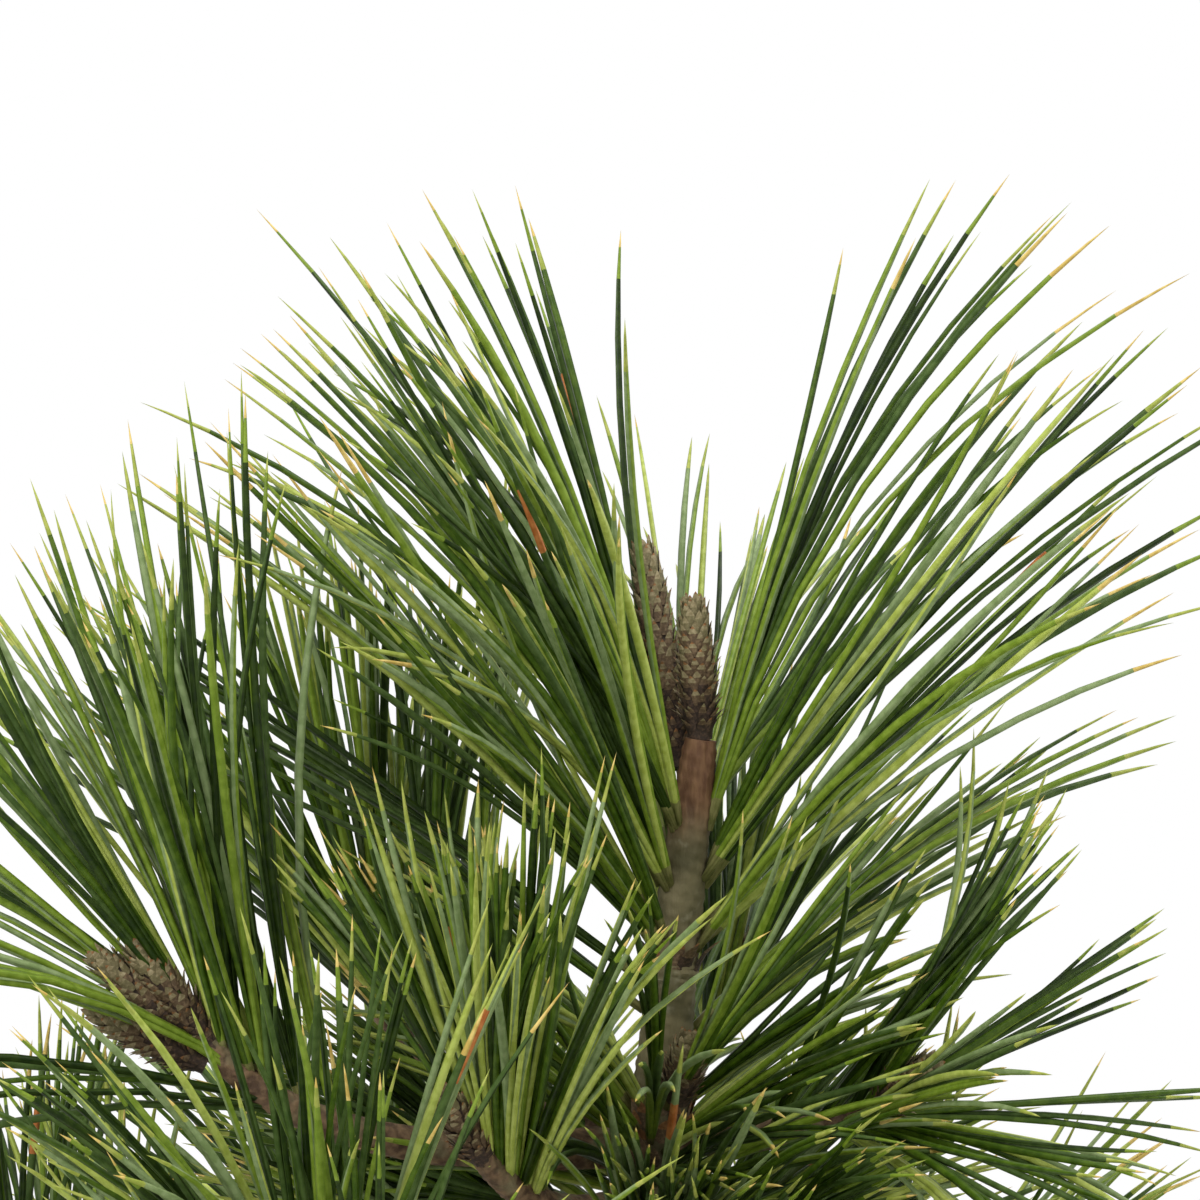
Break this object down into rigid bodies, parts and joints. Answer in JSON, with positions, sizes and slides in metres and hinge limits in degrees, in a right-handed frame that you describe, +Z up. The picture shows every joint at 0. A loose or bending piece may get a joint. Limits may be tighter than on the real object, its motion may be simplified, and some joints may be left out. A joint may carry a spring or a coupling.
{
  "type": "potted swiss stone pine",
  "caption": "Young Swiss stone pine: a leader with whorled side shoots, long soft needles in bundles and scaly candles, in a plain dark round nursery pot.",
  "frame": {"origin": "centre of the pot's flat underside", "axes": "+Z up along the pot's axis, -Y towards the side the picture shows, +X to its right"},
  "size_m": [0.2307, 0.2243, 0.3645],
  "materials": {
    "pot_plastic": "moulded dark plastic with a fine grain",
    "compost": "moist peat and bark compost",
    "bark": "young bark with needle scars",
    "candle_scales": "dry papery bud scales",
    "needle_green": "waxy green needles with paler tips"
  },
  "bodies": {
    "root": {"pot": "pot_plastic", "soil": "compost", "trunk": "bark", "bough_left": "bark", "bough_front": "bark", "bough_right": "bark", "bough_back_right": "bark", "bough_back_left": "bark", "bough_low_front_left": "bark", "bough_low_left": "bark", "bough_low_front_right": "bark", "bough_low_right": "bark", "bough_low_back_right": "bark", "bough_low_back_left": "bark", "candle_leader": "candle_scales", "candle_side": "candle_scales", "candle_small": "candle_scales", "needles_leader_left": "needle_green", "needles_leader_right": "needle_green", "needles_leader_front": "needle_green", "needles_leader_back": "needle_green", "needles_inner_left": "needle_green", "needles_inner_front": "needle_green", "needles_inner_right": "needle_green", "needles_left": "needle_green", "needles_front": "needle_green", "needles_right": "needle_green", "needles_back_right": "needle_green", "needles_back_left": "needle_green", "needles_low_front_left": "needle_green", "needles_low_left": "needle_green", "needles_low_front_right": "needle_green", "needles_low_right": "needle_green", "needles_low_back_right": "needle_green", "needles_low_back_left": "needle_green"}
  },
  "joints": []
}
